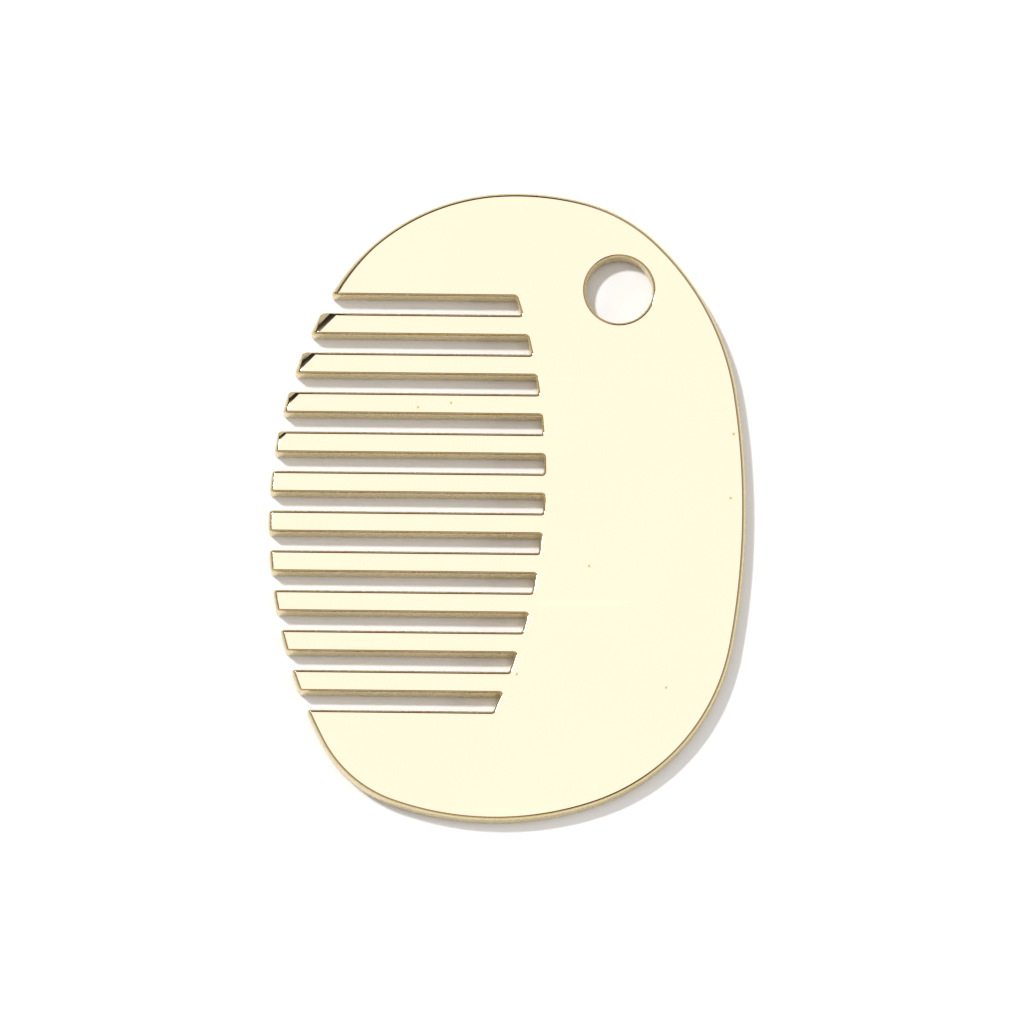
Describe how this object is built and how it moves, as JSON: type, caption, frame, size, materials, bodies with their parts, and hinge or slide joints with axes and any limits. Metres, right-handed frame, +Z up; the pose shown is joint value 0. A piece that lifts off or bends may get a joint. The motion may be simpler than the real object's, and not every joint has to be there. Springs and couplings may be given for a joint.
{
  "type": "beard comb",
  "caption": "Palm-sized oval beard comb cut from one thick polished metal plate, with coarse straight teeth along one side and a plain hole for a key ring.",
  "frame": {"origin": "middle of the comb's plan, on the lower face it lies on", "axes": "+Z up through the plate, +Y along the comb's length towards the ring hole, teeth pointing to -X"},
  "size_m": [0.0562, 0.075, 0.004],
  "materials": {
    "polished_gold": "mirror-polished pale gold"
  },
  "bodies": {
    "root": {"comb_plate": "polished_gold"}
  },
  "joints": []
}
